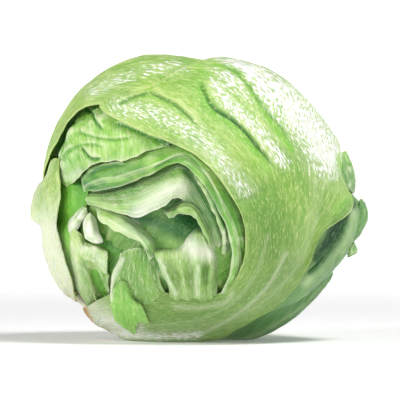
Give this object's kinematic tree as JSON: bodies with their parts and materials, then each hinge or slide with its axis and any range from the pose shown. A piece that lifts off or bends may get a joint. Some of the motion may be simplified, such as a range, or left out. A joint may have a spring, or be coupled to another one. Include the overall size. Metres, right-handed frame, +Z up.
{
  "type": "iceberg lettuce",
  "caption": "Head of iceberg lettuce lying on its side: a dense heart in wrapped, veined outer leaves, with crumpled leaves in an opening beside the cut stem.",
  "frame": {"origin": "centre of the bounding box at its base, where the head rests", "axes": "+X to the right of the picture, +Y away from the camera, +Z up; the stem points down to -X and the crown up to +X"},
  "size_m": [0.1674, 0.1504, 0.1453],
  "materials": {
    "inner_leaf": "satin",
    "outer_leaf": "satin",
    "shaded_leaf": "satin",
    "stem": "matte"
  },
  "bodies": {
    "root": {"heart": "inner_leaf", "top_leaf": "outer_leaf", "left_leaf": "outer_leaf", "body_leaf": "outer_leaf", "fold_leaf": "outer_leaf", "back_leaf": "outer_leaf", "side_leaf": "outer_leaf", "torn_flap": "outer_leaf", "under_leaf": "shaded_leaf", "stem_butt": "stem"}
  },
  "joints": []
}
